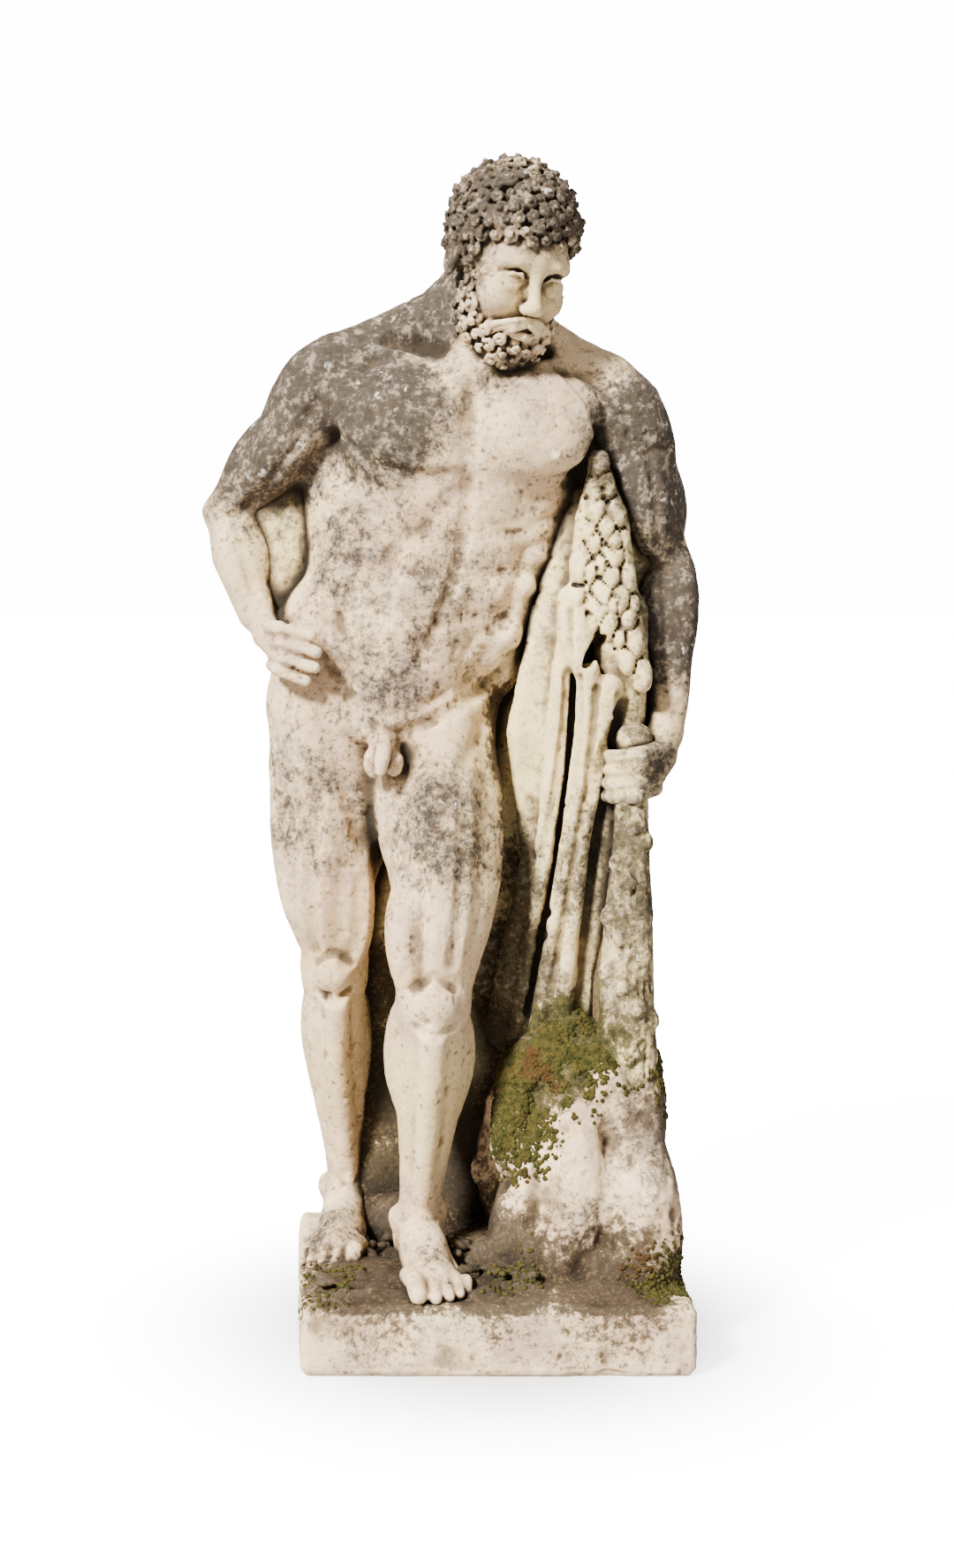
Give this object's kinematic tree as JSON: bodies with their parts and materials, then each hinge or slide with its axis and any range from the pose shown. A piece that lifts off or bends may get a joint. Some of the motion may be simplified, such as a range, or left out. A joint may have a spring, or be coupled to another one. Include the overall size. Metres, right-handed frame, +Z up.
{
  "type": "hero statue",
  "caption": "Weathered limestone garden statue of a bearded hero at rest with a club, a draped pelt and a rock on a square plinth.",
  "frame": {"origin": "middle of the plinth's flat underside", "axes": "+Z up, the figure's front and the plinth's front face to -Y, +X to the viewer's right from the front"},
  "size_m": [0.7088, 0.45, 1.6359],
  "materials": {
    "limestone": "weathered pale limestone with grey lichen, dark soot and green moss"
  },
  "bodies": {
    "root": {"statue": "limestone"}
  },
  "joints": []
}
